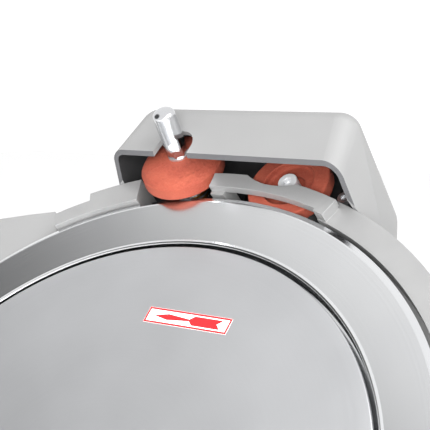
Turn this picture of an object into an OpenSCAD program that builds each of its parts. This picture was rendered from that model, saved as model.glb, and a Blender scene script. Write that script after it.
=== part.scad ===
// Knife head of a gravity-feed food slicer with its two-stone sharpener.
// Most pieces are drawn in the head's own axes: X to the right in the knife
// plane, Y up along it, Z out of the knife's face.  head() tilts them back.

/* [Head] */
// Tilt of the knife plane back from upright
tilt = 45; // [40:1:50]
// Height of the knife's centre above the foot
axis_h = 165; // [160:1:200]
// Distance of the knife's centre in front of the foot's centre
axis_y = 12; // [0:1:30]

/* [Knife] */
// Radius of the cutting edge
knife_r = 150; // [146:1:156]
// Thickness left at the edge
edge_t = 0.3; // [0.2:0.1:0.5]
// Width of the ground bevel
bevel_w = 2.5; // [1.5:0.5:4]
// Rise of the bevel in front of the edge plane
bevel_h = 1; // [0.6:0.1:1.2]
// Width of the knife's face between the edge and the recess that takes the cover
face_w = 24.8; // [22:0.2:28]
// Depth of that recess behind the edge plane
recess_d = 6.5; // [5.5:0.5:7.5]
// Depth of the knife's back behind the edge plane
knife_back = 10.5; // [10:0.5:11]
// Radius of the knife's centre hole
pilot_r = 29; // [27:1:31]

/* [Cover] */
// Running gap between the cover and the recess wall
cover_gap = 2; // [1:0.5:4]
// Thickness of the cover's rim
cover_t = 2; // [1.5:0.5:3]
// Drop of the cover's rim behind the edge plane
cover_drop = 0.8; // [0.5:0.1:1.5]
// Rise of the cover's middle above its rim
cover_crown = 2; // [0:0.5:4]

/* [Hub] */
// Radius of the fixed spindle
spindle_r = 10; // [9:0.5:11]
// Outer radius of the bearings
bearing_r = 21; // [20:0.5:22]
// Width of one bearing
bearing_w = 12; // [10:1:13]
// Radius of the hub's flange
flange_r = 42; // [40:1:43]
// Thickness of the hub's flange
flange_t = 5; // [4:0.5:6]
// Radius of the pulley over its ribs
pulley_r = 44; // [40:1:45]
// Width of the pulley
pulley_w = 14; // [12:1:16]
// Radial running clearance of turning and sliding pieces
run_c = 0.05; // [0.02:0.01:0.08]
// Radius of the knife screws
knife_screw_r = 3; // [2.5:0.5:3.5]
// Radius of the circle of knife screws
knife_screw_pcr = 35.5; // [35:0.5:36]

/* [Ring guard] */
// Gap between the knife's edge and the ring
ring_gap = 2; // [1.5:0.1:3]
// Width of the ring's flat face
ring_w = 11.6; // [10:0.2:14]
// Drop of the ring's face behind the edge plane
ring_drop = 1; // [0.5:0.1:2]
// Depth of the ring's back behind the edge plane
ring_back = 14; // [13.5:0.5:15]
// Thickness of the web behind the knife
web_t = 5; // [4:0.5:5.5]
// Height of the left guard in front of the edge plane
guard_h = 3; // [2:0.5:4]
// Height of the bridge in front of the edge plane
bridge_h = 4; // [3:0.5:5]
// Width of the bridge's leg
leg_w = 7; // [5:0.5:7.5]
// Radius of the ring screws
ring_screw_r = 2.5; // [2:0.5:3]

/* [Casting] */
// Thickness of the head plate
plate_t = 6; // [5:0.5:8]
// Outer radius of the pulley drum
drum_r = 74; // [70:1:80]
// Wall of the pulley drum
drum_wall = 8; // [5:1:10]
// Depth of the drum behind the head plate
drum_d = 52; // [48:1:60]
// Half width of the neck
neck_hw = 36; // [32:1:45]
// Depth of the neck front to back
neck_d = 88; // [80:1:100]
// Wall of the neck
neck_wall = 9; // [6:1:12]
// Half width of the foot
foot_hw = 80; // [70:1:100]
// Half depth of the foot
foot_hd = 82; // [75:1:95]
// Thickness of the foot
foot_t = 12; // [10:1:16]
// Radius of the foot's corners and of the bosses there
foot_cr = 14; // [10:1:18]
// Radius of the foot's bolt holes
foot_hole_r = 4.5; // [3.5:0.5:5.5]

/* [Gauge plate] */
// Depth of the gauge plate's face behind the edge plane
gauge_drop = 5; // [5:0.5:8]
// Thickness of the gauge plate
gauge_t = 5; // [4:0.5:6]
// Width of the gauge plate beyond the knife's edge
gauge_w = 100; // [90:1:130]
// Radius of the gauge plate's guide rods
rod_r = 6; // [5:0.5:8]
// Distance from each guide rod to the middle
rod_dv = 22; // [18:1:26]
// Length of the guide rods
rod_l = 70; // [60:1:80]

/* [Stones] */
// Radius of both stones
stone_r = 19.5; // [18:0.1:19.8]
// Thickness of a stone at its rim
stone_t = 6.4; // [5.5:0.1:7]
// Rise of the stone's domed back
dome_h = 4.4; // [3:0.1:5]
// Inner radius of the working face
stone_in_r = 12.1; // [11:0.1:13]
// Depth of the recess in the working face
stone_recess = 3.5; // [2:0.5:4]
// Backward lean of the grinding spindle
grind_lean = 9.8; // [8:0.1:11]
// Sideways turn of the grinding spindle
grind_turn = 5.1; // [3:0.1:6]
// Distance of the grinding stone left of the middle
grind_u = 31.2; // [30:0.2:33]
// Height of the grinding stone's face centre above the knife's edge
grind_w = 13.2; // [13:0.1:14]
// Distance of the deburring stone right of the middle
deburr_u = 25.1; // [24:0.1:27]
// Height of the deburring stone's centre above the knife's edge
deburr_w = 12.9; // [12.5:0.1:14]
// Gap between the edge plane and the deburring stone at rest
deburr_rest = 1.3; // [1.3:0.1:1.6]

/* [Spindles] */
// Radius of both stone spindles
stone_spindle_r = 5; // [4:0.5:5.5]
// Outer radius of both sliding sleeves
sleeve_r = 8; // [7.5:0.5:8.5]
// Outer radius of the bracket's two barrels
barrel_r = 11; // [10.5:0.5:11.5]
// Length of a barrel
barrel_l = 22; // [20:1:23]
// Radius of the spindles' threaded ends
stud_r = 2.5; // [2:0.5:2.5]
// Width across the flats of the spindle nuts
nut_af = 8; // [7:0.5:9]
// Height of the spindle nuts
nut_h = 4; // [3:0.5:4.5]
// Radius of the push knob
knob_r = 5.15; // [4.5:0.05:6]
// Distance of the knob's end in front of the dome
knob_l = 26.4; // [22:0.2:28]
// Radius of the knob's set screw
set_screw_r = 2.1; // [1.8:0.1:2.2]
// Wire radius of the return springs
wire_r = 0.5; // [0.4:0.05:0.6]

/* [Hood] */
// Wall of the hood
hood_wall = 2.5; // [2:0.1:3]
// Radius of the arched notch round the push knob
notch_r = 9.5; // [9.3:0.1:10.5]
// Distance of the notch's centre to the right of the grinding stone's
notch_shift = 3.9; // [3:0.1:4.5]
// Radius of the sharpener's post
post_r = 7; // [6:0.5:8]
// Gap between the hood and the ring
hood_gap = 0.4; // [0.3:0.1:0.8]
// Slope of the hood's rim up to its front wall
rim_rise = 23.5; // [18:0.5:25]

/* [Hidden] */
$fn = 96;

eps = 0.01;
// wider than the whole head, for cuts that run right through
far = 4 * knife_r;
recess_r = knife_r - face_w;
ring_in = knife_r + ring_gap;
ring_out = ring_in + ring_w;
plate_back = ring_back + plate_t;
drum_back = plate_back + drum_d;
win_left = -18.3;
win_right = 18.5;
guard_left = -35;
guard_step = -28;
ring_end = 215;
web_in = knife_r - 14;
web_out = knife_r - 6.5;
ring_screw_pcr = (web_in + web_out) / 2;
ring_screw_angles = [-28, 35, 80, 125, 165, 205];
cover_r = recess_r - cover_gap;
cover_boss_r = 6.5;
cover_boss_l = 14;
tie_r = 4;
spindle_front = -cover_drop - cover_t - 1.2;
front_bearing_n = -knife_back + 0.5;
rear_bearing_n = front_bearing_n - 2 * bearing_w - 5;
hub_back = rear_bearing_n;
hub_r = bearing_r + 6;
post_n = -34;
socket_top = knife_r - 7;
socket_hw = 14;
socket_l = 50;
lock_v = socket_top - 28;
rod_u = knife_r + 30;
gauge_corner = 40;
// unit vector of the grinding spindle, towards its knob
grind_at = [-grind_u, knife_r + grind_w, 0];
circlip_t = 1.2;
flange_thin = 1.5;
// height of the hood screws' seat above the knife's edge
hood_seat = 40.6;
// clamp screw on the bracket's right arm
arm_screw_at = [50, knife_r + 13, -11];
// front of both barrels behind the stones' faces, and the sleeves' ends
barrel_n = 13;
sleeve_back = barrel_n + barrel_l + 3;
deburr_back = barrel_n + barrel_l + 7;
knob_start = stone_t + dome_h + nut_h + 1.2;
knob_end = stone_t + dome_h + knob_l;
dome_flat_r = 5.2;
stone_hub_r = 6.8;

module head() translate([0, -axis_y, axis_h]) rotate([90 - tilt, 0, 0]) children();

// frame of the grinding spindle: Z along its axis, 0 at the stone's working face
module grind_frame() head() grind_axis() children();

// frame of the deburring spindle: Z forward, 0 at the stone's working face
module deburr_frame() head() deburr_axis() children();

// ring sector between two angles counted clockwise from the top
module sector(r0, r1, a0, a1, n0, n1)
    translate([0, 0, n0]) rotate([0, 0, 90 - a1])
        rotate_extrude(angle = a1 - a0) translate([r0, 0]) square([r1 - r0, n1 - n0]);

module tube(r0, r1, n0, n1)
    translate([0, 0, n0]) rotate_extrude() translate([r0, 0]) square([r1 - r0, n1 - n0]);

module rod(r, n0, n1) translate([0, 0, n0]) cylinder(r = r, h = n1 - n0);

module on_circle(r, angles) for (a = angles) rotate([0, 0, 90 - a]) translate([r, 0, 0]) children();

// star knob that turns about Z
module star(r, lobes, n0, n1) {
    rotate([0, 0, 180 / lobes]) rod(r - 4, n0, n1);
    for (i = [0:lobes - 1]) rotate([0, 0, i * 360 / lobes]) translate([r - 5, 0, 0])
        rotate([0, 0, 180]) rod(5, n0 + 1, n1 - 1);
}

module coil(r, turns, n0, n1) {
    steps = 18;
    count = turns * steps;
    sides = 6;
    rise = (n1 - n0 - 2 * wire_r) / count;
    points = [for (i = [0:count]) for (k = [0:sides - 1])
        let (a = i * 360 / steps, b = k * 360 / sides, q = r + wire_r * cos(b))
        [q * cos(a), q * sin(a), n0 + wire_r + i * rise + wire_r * sin(b)]];
    walls = [for (i = [0:count - 1]) for (k = [0:sides - 1])
        let (p = i * sides + k, q = i * sides + (k + 1) % sides) [p, p + sides, q + sides, q]];
    caps = [[for (k = [0:sides - 1]) k], [for (k = [sides - 1:-1:0]) count * sides + k]];
    polyhedron(points, concat(walls, caps));
}

// ---- head casting and what it carries ----

module foot_plate() {
    translate([-foot_hw + foot_cr, -foot_hd, 0]) cube([2 * (foot_hw - foot_cr), 2 * foot_hd, foot_t]);
    translate([-foot_hw, -foot_hd + foot_cr, 0]) cube([2 * foot_hw, 2 * (foot_hd - foot_cr), foot_t]);
    foot_corners() cylinder(r = foot_cr, h = foot_t);
}

module foot_corners()
    for (x = [-1, 1]) for (y = [-1, 1])
        translate([x * (foot_hw - foot_cr), y * (foot_hd - foot_cr), 0]) children();

module neck() difference() {
    intersection() {
        translate([-neck_hw, -neck_d / 2, foot_t - 5]) cube([2 * neck_hw, neck_d, axis_h + 40]);
        head() translate([-far / 2, -far, -far]) cube([far, 2 * far, far - ring_back - 1]);
    }
    translate([-neck_hw + neck_wall, -neck_d / 2 + neck_wall, foot_t])
        cube([2 * (neck_hw - neck_wall), neck_d, axis_h + 60]);
}

module head_plate() difference() {
    rod(ring_out, -plate_back, -ring_back);
    sector(knife_r - 4, ring_out + 2, ring_end, 360 + guard_left, -plate_back - 1, -ring_back + 1);
}

// guide of the gauge plate's rods, low enough for the plate to pull back over it
module gauge_lug() {
    lug_start = -knife_r + 8;
    translate([lug_start, -rod_dv - 14, -plate_back - 34])
        cube([-lug_start - drum_r + 10, 2 * rod_dv + 28, 35]);
    translate([-rod_u - 18, -rod_dv - 14, -plate_back - 34])
        cube([rod_u + 18 + lug_start + 4, 2 * rod_dv + 28, 24]);
}

module head_casting() color("gainsboro") difference() {
    union() {
        foot_plate();
        neck();
        head() {
            head_plate();
            rod(drum_r, -drum_back, -plate_back + 3);
            rod(spindle_r + 9, -drum_back - 4, -drum_back + 4);
            gauge_lug();
            translate([-socket_hw, socket_top - socket_l, post_n - socket_hw])
                cube([2 * socket_hw, socket_l, -post_n + socket_hw - ring_back - 2]);
        }
    }
    foot_corners() translate([0, 0, -1]) cylinder(r = foot_hole_r, h = foot_t + 2);
    head() {
        rod(drum_r - drum_wall, -drum_back + drum_wall, -plate_back);
        rod(flange_r + 4, -plate_back - 1, -ring_back + 1);
        rod(spindle_r, -drum_back - 5, -plate_back);
        translate([-52, web_out, -plate_back - 1]) cube([104, 40, plate_t + 2]);
        translate([0, socket_top + 1, post_n]) rotate([90, 0, 0]) cylinder(r = post_r + run_c, h = socket_l - 3);
        translate([0, lock_v, 0]) rod(3 + run_c, post_n - socket_hw - 1, post_n);
        for (s = [-1, 1]) translate([-rod_u, s * rod_dv, 0]) rod(rod_r + run_c, -plate_back - 40, -ring_back);
        on_circle(ring_screw_pcr, ring_screw_angles) rod(ring_screw_r, -plate_back - 1, -ring_back + 1);
        translate([-20, -drum_r - 2, -plate_back - 38]) cube([40, drum_wall + 14, 20]);
    }
}

module knife_spindle() color("silver") head() difference() {
    union() {
        rod(spindle_r, -drum_back - 4, spindle_front);
        rod(spindle_r + 6, -drum_back + drum_wall, rear_bearing_n - 0.1);
    }
    rod(tie_r + 0.2, -drum_back - 5, 0);
    rod(cover_boss_r + 0.1, -cover_drop - cover_t - cover_boss_l - 0.5, 0);
}

module spindle_nut() color("silver") head() difference() {
    translate([0, 0, front_bearing_n + 0.1]) cylinder(r = 17, h = 5, $fn = 6);
    rod(spindle_r, -20, 0);
}

module ring_guard() color("gainsboro") head() difference() {
    union() {
        sector(ring_in, ring_out, win_right, ring_end, -ring_back, -ring_drop);
        ring_web();
        left_guard();
        bridge();
        bridge_leg();
    }
    on_circle(ring_screw_pcr, ring_screw_angles) rod(ring_screw_r, -ring_back - 1, -ring_back + web_t - 1);
}

// flat web behind the knife, cut back where the stones work
module ring_web() difference() {
    sector(web_in, ring_in + 1, guard_left + 0.5, ring_end - 0.5, -ring_back, -ring_back + web_t);
    sector(web_out, ring_out, win_left - 0.5, win_right + 0.5, -ring_back - 1, 0);
}

// foot that carries the bridge's free end round the knife's edge
module bridge_leg() translate([-10.2, 0, 0]) rotate([90, 0, 90]) linear_extrude(leg_w)
    polygon([[web_out - 3, 0.4 - ring_back], [knife_r + 9, 0.4 - ring_back], [knife_r + 9, 1],
        [knife_r + 1.6, 1], [knife_r + 1.6, web_t - ring_back - 0.4], [web_out - 3, web_t - ring_back - 0.4]]);

module left_guard() difference() {
    sector(knife_r + 1, ring_out, guard_left, win_left, -ring_back, guard_h);
    sector(knife_r + 9, ring_out + 2, guard_left - 2, guard_step, -ring_back - 1, guard_h + 1);
}

// bar in front of the deburring stone, with a waist in its outer edge
module bridge() {
    difference() {
        sector(knife_r + 3.8, knife_r + 11.6, -3.9, win_right + 1.9, 0, bridge_h);
        rotate([0, 0, -7.2]) translate([0, knife_r + 40, -1]) cylinder(r = 32, h = bridge_h + 2);
    }
    sector(ring_in + 0.5, knife_r + 10.8, win_right - 0.2, win_right + 1.9, -ring_back + 1, bridge_h);
}

module ring_screws() color("silver") head() on_circle(ring_screw_pcr, ring_screw_angles) {
    rod(ring_screw_r, -plate_back, -ring_back + web_t - 2);
    difference() {
        rod(ring_screw_r + 2, -plate_back - 5, -plate_back);
        translate([0, 0, -plate_back - 6]) cylinder(r = 2.3, h = 3.5, $fn = 6);
    }
}

// ---- knife ----

module knife() color("silver") head() difference() {
    rotate_extrude($fn = 180) polygon([[pilot_r, -recess_d], [recess_r, -recess_d],
        [recess_r + 0.4, -1.1], [knife_r - bevel_w, bevel_h], [knife_r, 0], [knife_r, -edge_t],
        [knife_r - 5.5, -0.5], [knife_r - 19, -5], [recess_r + 3.5, -knife_back], [pilot_r, -knife_back]]);
    on_circle(knife_screw_pcr, [45:90:315]) {
        rod(knife_screw_r, -knife_back - 1, 0);
        translate([0, 0, -recess_d - 2.5]) cylinder(r1 = knife_screw_r, r2 = knife_screw_r + 2.6, h = 2.6);
    }
}

module knife_screws() color("dimgray") head() on_circle(knife_screw_pcr, [45:90:315]) {
    rod(knife_screw_r, -knife_back - flange_t + 1, -recess_d - 2.5);
    difference() {
        translate([0, 0, -recess_d - 2.5]) cylinder(r1 = knife_screw_r, r2 = knife_screw_r + 2.4, h = 2.4);
        translate([0, 0, -recess_d - 1.8]) cylinder(r = 1.9, h = 3, $fn = 6);
    }
}

module knife_hub() color("slategray") head() difference() {
    union() {
        rod(flange_r, -knife_back - flange_t, -knife_back);
        rod(pilot_r, -knife_back - eps, -recess_d - 0.5);
        rod(hub_r, hub_back, -knife_back);
    }
    rod(bearing_r, hub_back - 1, 0);
    on_circle(knife_screw_pcr, [45:90:315]) rod(knife_screw_r, -knife_back - flange_t - 1, -knife_back + 1);
    on_circle(bearing_r + 3, [0, 120, 240]) rod(1.25, hub_back - 1, hub_back + 8);
}

module knife_bearings() color("lightsteelblue") head() {
    tube(spindle_r + run_c, bearing_r, front_bearing_n - bearing_w, front_bearing_n);
    tube(spindle_r + run_c, bearing_r, rear_bearing_n, rear_bearing_n + bearing_w);
}

module bearing_spacer() color("gray") head()
    tube(bearing_r - 3, bearing_r, rear_bearing_n + bearing_w, front_bearing_n - bearing_w);

// ribbed pulley that hangs over the hub's back end
module knife_pulley() color("darkgray") head() difference() {
    union() {
        rib_n = hub_back + 3;
        rotate_extrude() polygon(concat([[hub_r, rib_n + pulley_w], [hub_r, rib_n]],
            [for (i = [0:6]) [pulley_r - (i % 2) * 2, rib_n + i * pulley_w / 6]]));
        tube(bearing_r - 2, hub_r + 4, hub_back - 4, hub_back);
        tube(hub_r, hub_r + 4, hub_back - eps, rib_n + eps);
    }
    on_circle(bearing_r + 3, [0, 120, 240]) rod(1.25, hub_back - 9, hub_back + 1);
}

module pulley_screws() color("dimgray") head() on_circle(bearing_r + 3, [0, 120, 240]) {
    rod(1.25, hub_back - 4, hub_back + 7);
    rod(2.4, hub_back - 6, hub_back - 4);
}

module knife_cover() color("lightgray") head() difference() {
    union() {
        rotate_extrude($fn = 180) polygon(concat([[0, -cover_drop - cover_t + cover_crown * 0.6]],
            [[cover_r - 12, -cover_drop - cover_t], [cover_r, -cover_drop - cover_t],
            [cover_r, -cover_drop - 0.6], [cover_r - 0.6, -cover_drop]],
            [for (i = [0:12]) let (q = (cover_r - 0.6) * (1 - i / 12))
                [q, -cover_drop + cover_crown * (1 - pow(q / cover_r, 2)) + eps * i]]));
        rod(cover_boss_r, -cover_drop - cover_t - cover_boss_l, -cover_drop);
    }
    rod(tie_r + run_c, -cover_drop - cover_t - cover_boss_l - 1, -cover_drop - cover_t);
}

module cover_tie_rod() color("silver") head() {
    rod(tie_r, -drum_back - 24, -cover_drop - cover_t - 1);
    rod(tie_r + 3, -drum_back - 8, -drum_back - 4.1);
}

module cover_knob() color("black") head() difference() {
    star(19, 5, -drum_back - 26, -drum_back - 8);
    rod(tie_r, -drum_back - 24, -drum_back);
}

// ---- gauge plate ----

module gauge_outline() difference() {
    left = -knife_r - gauge_w;
    top = knife_r * 0.62;
    polygon([[left + gauge_corner, -knife_r * 0.95], [left, -knife_r * 0.95 + gauge_corner],
        [left, top - 20], [left + 18, top + 6], [-134, knife_r - 20.3], [-116, knife_r - 15.7],
        [-98, knife_r - 11.8], [-60, knife_r - 6], [-60, -knife_r * 0.95]]);
    circle(r = knife_r + ring_gap, $fn = 180);
    // clear of both ends of the ring guard
    polygon([[0, 0], far * [sin(guard_left - 1.2), cos(guard_left - 1.2)], [0, far]]);
    polygon([[0, 0], far * [sin(ring_end + 1.2), cos(ring_end + 1.2)], [0, -far]]);
}

module gauge_plate() color("lightgray") head() difference() {
    translate([0, 0, -gauge_drop - gauge_t]) linear_extrude(gauge_t) gauge_outline();
    gauge_screw_places() {
        rod(2.5, -gauge_drop - gauge_t - 1, 0);
        translate([0, 0, -gauge_drop - 2]) cylinder(r1 = 2.5, r2 = 4.6, h = 2.1);
    }
}

module gauge_screw_places()
    for (s = [-1, 1]) translate([-rod_u, s * rod_dv, 0]) children();

module gauge_screws() color("dimgray") head() gauge_screw_places() {
    rod(2.5, -gauge_drop - gauge_t - 10, -gauge_drop - 2);
    difference() {
        translate([0, 0, -gauge_drop - 2]) cylinder(r1 = 2.5, r2 = 4.4, h = 1.9);
        translate([0, 0, -gauge_drop - 1.5]) cylinder(r = 1.6, h = 3, $fn = 6);
    }
}

module gauge_arm() color("gray") head() difference() {
    translate([-rod_u - 14, -rod_dv - 12, -gauge_drop - gauge_t - 6]) cube([28, 2 * rod_dv + 24, 6]);
    gauge_screw_places() rod(2.5, -30, 0);
}

module gauge_rods() color("silver") head() gauge_screw_places() difference() {
    rod(rod_r, -gauge_drop - gauge_t - 6 - rod_l, -gauge_drop - gauge_t - 6);
    rod(2.5, -gauge_drop - gauge_t - 12, 0);
}

// ---- sharpener unit ----

// corner balls of the hood: [x, y above the edge, z, radius]
function hood_balls() = [
    [-58.8, -10, 18, 3], [-51.2, 31.9, 7.1, 10.9], [56.7, -10, 13, 8], [46.5, 32.9, 8.3, 10],
    [-56, -10, -40, 10], [-48, 28, -28, 12], [60, -10, -38.6, 12], [39, 30, -28.8, 14],
    [50, 20.6, -36, 12]];

module hood_form(inset) hull() for (b = hood_balls())
    translate([b[0], knife_r + b[1], b[2]]) sphere(r = b[3] - inset, $fn = 32);

module hood() color("gainsboro") head() difference() {
    hood_form(0);
    hood_form(hood_wall);
    rod(ring_out + hood_gap, -80, guard_h + 2);
    // rim that rises from the ring to the front wall
    translate([-100, knife_r, -ring_drop]) rotate([-rim_rise, 0, 0]) translate([0, -60, -100]) cube([200, 60, 160]);
    notch();
    deburr_axis() rod(sleeve_r + 3.2, -80, -30);
    hood_screw_places() rod(2, -knife_r - 60, -knife_r - 30);
    hood_screw_places() rod(3.8, -knife_r - 60, -knife_r - hood_seat);
}

module notch() translate([notch_shift - grind_u, knife_r + grind_w, guard_h + 2]) linear_extrude(40) {
    circle(notch_r);
    translate([-notch_r, -20]) square([2 * notch_r, 20]);
}

module grind_axis() translate(grind_at) rotate([-grind_lean, grind_turn, 0]) children();
module deburr_axis() translate([deburr_u, knife_r + deburr_w, -deburr_rest]) children();

// Z runs down into the bracket's two pillars
module hood_screw_places()
    for (x = [-12, 10]) translate([x, 0, -31]) rotate([90, 0, 0]) children();

module hood_screws() color("silver") head() hood_screw_places() {
    rod(2, -knife_r - hood_seat, -knife_r - 26);
    difference() {
        rod(3.6, -knife_r - hood_seat - 2.4, -knife_r - hood_seat);
        translate([0, 0, -knife_r - hood_seat - 3]) cylinder(r = 1.7, h = 2, $fn = 6);
    }
}

// two pillars up to the hood's roof
module pillars() intersection() {
    hood_screw_places() rod(5, -knife_r - 60, -knife_r - 12);
    hood_form(hood_wall + 0.02);
}

module sharpener_bracket() color("dimgray") head() difference() {
    union() {
        grind_axis() rod(barrel_r, -barrel_n - barrel_l, -barrel_n);
        pillars();
        deburr_axis() rod(barrel_r, -barrel_n - barrel_l, -barrel_n);
        translate([-34, knife_r + 3, -37]) cube([88, 13, 10]);
        translate([46, knife_r + 6, -36]) cube([8, 13, 25]);
        translate([0, socket_top + 0.1, post_n]) rotate([-90, 0, 0]) cylinder(r = post_r + 3.5, h = 19);
    }
    grind_axis() rod(sleeve_r + run_c, -80, 0);
    deburr_axis() rod(sleeve_r + run_c, -80, 0);
    grind_axis() rod(sleeve_r + 2.8, -80, -barrel_n - barrel_l);
    deburr_axis() rod(sleeve_r + 2.8, -80, -barrel_n - barrel_l);
    hood_screw_places() rod(2, -knife_r - 60, -knife_r - 26);
    translate(arm_screw_at) rod(1.5, -8, 1);
    translate([0, socket_top - 1, post_n]) rotate([-90, 0, 0]) cylinder(r = post_r, h = 17.1);
}

module arm_screw() color("silver") head() translate(arm_screw_at) {
    rod(1.5, -8, 0);
    difference() {
        rod(2.9, 0, 2);
        translate([0, 0, 0.9]) cylinder(r = 1.4, h = 2, $fn = 6);
    }
}

module sharpener_post() color("silver") head()
    translate([0, socket_top - 45, post_n]) rotate([-90, 0, 0]) cylinder(r = post_r, h = 61);

module lock_screw() color("silver") head()
    translate([0, lock_v, 0]) rod(3, post_n - socket_hw - 16, post_n - post_r - 0.1);

module lock_knob() color("black") head() translate([0, lock_v, 0]) difference() {
    star(15, 5, post_n - socket_hw - 20, post_n - socket_hw - 5);
    rod(3, post_n - socket_hw - 16, post_n);
}

// domed cup stone: working face at 0, dome towards +Z
module stone(dome) rotate_extrude() polygon(concat(
    [[stone_in_r, 0], [stone_r - 0.8, 0], [stone_r, 0.8], [stone_r, stone_t - 1], [stone_r - 0.3, stone_t]],
    [for (i = [1:10]) let (a = i * 9) [dome_flat_r + (stone_r - 0.3 - dome_flat_r) * cos(a), stone_t + dome * sin(a)]],
    [[dome_flat_r, stone_t + dome], [stud_r, stone_t + dome], [stud_r, stone_recess + 2],
    [stone_hub_r, stone_recess + 2], [stone_hub_r, stone_recess], [stone_in_r, stone_recess]]));

module grinding_stone() color("coral") grind_frame() stone(dome_h);

module grinding_spindle() color("silver") grind_frame() {
    rod(stone_spindle_r, -sleeve_back - 2, -1.5);
    rod(stone_hub_r - 0.1, -1.5, stone_recess + 2);
    rod(stud_r, stone_recess + 2, knob_start + 6);
}

module grinding_washer() color("silver") grind_frame()
    tube(stud_r, dome_flat_r - 0.4, stone_t + dome_h, stone_t + dome_h + 1);

module grinding_nut() color("silver") grind_frame() difference() {
    translate([0, 0, stone_t + dome_h + 1]) cylinder(r = nut_af / 2 / cos(30), h = nut_h, $fn = 6);
    rod(stud_r, 0, 40);
}

module push_knob() color("silver") grind_frame() difference() {
    union() {
        rod(knob_r, knob_start, knob_end - 3);
        rotate_extrude() polygon(concat([[0, knob_end - 3 - eps], [knob_r, knob_end - 3 - eps]],
            [for (i = [0:9]) [knob_r * cos(i * 10), knob_end - 3 + 2.7 * sin(i * 10)]]));
    }
    rod(stud_r, 0, knob_start + 6);
    set_screw_place() rod(set_screw_r, 0, 20);
}

module set_screw_place() translate([0, 0, knob_start + 3.2]) rotate([0, 0, -62]) rotate([0, 90, 0]) children();

module knob_set_screw() color("dimgray") grind_frame() set_screw_place() difference() {
    rod(set_screw_r, stud_r + 0.1, knob_r - 0.2);
    translate([0, 0, knob_r - 1.6]) cylinder(r = set_screw_r * 0.55, h = 3, $fn = 6);
}

module grinding_sleeve() color("goldenrod") grind_frame() difference() {
    union() {
        rod(sleeve_r, -sleeve_back, -3);
        rod(sleeve_r + 2.2, -3 - flange_thin, -3);
    }
    rod(stone_spindle_r + run_c, -50, 0);
}

module grinding_spring() color("silver") grind_frame()
    coil(sleeve_r + 0.4 + wire_r, 3, -barrel_n + 0.1, -3.1 - flange_thin);

module grinding_circlip() color("dimgray") grind_frame()
    tube(sleeve_r, sleeve_r + 2, -barrel_n - 0.1 - barrel_l - circlip_t, -barrel_n - 0.1 - barrel_l);

module deburring_stone() color("coral") deburr_frame() mirror([0, 0, 1]) stone(1.2);

module deburring_spindle() color("silver") deburr_frame() {
    stone_back = stone_t + 1.2;
    difference() {
        union() {
            rod(stone_spindle_r, -deburr_back - 9, -stone_back - 1.5);
            rod(stone_spindle_r + 2, -stone_back - 1.5, -stone_back);
        }
        rod(stud_r, -stone_back - 14, 0);
    }
}

module deburring_bolt() color("silver") deburr_frame() difference() {
    union() {
        rod(stud_r, -stone_t - 1.2 - 12, -stone_recess - 2);
        rod(stone_hub_r - 2.35, -stone_recess - 2, 1);
    }
    translate([0, 0, -1.5]) cylinder(r = 2, h = 4, $fn = 6);
}

module deburring_sleeve() color("goldenrod") deburr_frame() difference() {
    union() {
        rod(sleeve_r, -deburr_back, -10.5);
        rod(sleeve_r + 2.2, -deburr_back, -deburr_back + flange_thin);
    }
    rod(stone_spindle_r + run_c, -60, 0);
}

module deburring_spring() color("silver") deburr_frame()
    coil(sleeve_r + 0.4 + wire_r, 2, -deburr_back + 0.1 + flange_thin, -barrel_n - 0.1 - barrel_l);

module deburring_circlip() color("dimgray") deburr_frame()
    tube(sleeve_r, sleeve_r + 2, -barrel_n + 0.1, -barrel_n + 0.1 + circlip_t);

module deburring_button() color("black") deburr_frame() difference() {
    union() {
        rod(sleeve_r + 1, -deburr_back - 13, -deburr_back - 3);
        rod(sleeve_r - 1, -deburr_back - 15, -deburr_back - 13 + eps);
    }
    rod(stone_spindle_r, -deburr_back - 9, 0);
}

head_casting();
knife_spindle();
spindle_nut();
ring_guard();
ring_screws();
knife();
knife_hub();
knife_screws();
knife_bearings();
bearing_spacer();
knife_pulley();
pulley_screws();
knife_cover();
cover_tie_rod();
cover_knob();
gauge_plate();
gauge_arm();
gauge_rods();
gauge_screws();
hood();
hood_screws();
sharpener_bracket();
arm_screw();
sharpener_post();
lock_screw();
lock_knob();
grinding_stone();
grinding_spindle();
grinding_washer();
grinding_nut();
push_knob();
knob_set_screw();
grinding_sleeve();
grinding_spring();
grinding_circlip();
deburring_stone();
deburring_spindle();
deburring_bolt();
deburring_sleeve();
deburring_spring();
deburring_circlip();
deburring_button();
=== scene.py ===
import math
import bmesh
import bpy
import numpy as np
from mathutils import Matrix, Vector
from mathutils.bvhtree import BVHTree


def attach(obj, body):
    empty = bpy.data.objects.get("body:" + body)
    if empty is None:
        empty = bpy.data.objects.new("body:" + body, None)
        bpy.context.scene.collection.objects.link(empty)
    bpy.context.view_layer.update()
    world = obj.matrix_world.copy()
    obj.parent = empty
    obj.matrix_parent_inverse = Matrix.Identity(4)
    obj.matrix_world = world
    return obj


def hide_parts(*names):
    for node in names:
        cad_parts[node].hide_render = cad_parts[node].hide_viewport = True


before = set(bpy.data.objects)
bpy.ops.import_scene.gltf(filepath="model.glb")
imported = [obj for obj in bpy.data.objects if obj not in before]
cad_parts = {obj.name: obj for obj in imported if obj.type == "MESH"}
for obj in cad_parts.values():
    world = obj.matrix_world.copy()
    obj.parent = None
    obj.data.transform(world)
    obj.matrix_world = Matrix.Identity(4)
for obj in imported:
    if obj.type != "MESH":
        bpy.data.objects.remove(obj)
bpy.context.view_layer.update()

# The looks of a slicer's knife head: round knife, cover, ring guard, gauge plate and the sharpener
# with two stones under its hood
mm = 0.001
full = 2 * math.pi
weldGap = 1e-6  # metres between points that are made one
flatAngle = 0.5  # degrees between faces of a solid that are made one
arcPoints = 6  # on each rounded corner of an outline
knifeRadius = 150  # to its edge

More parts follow.
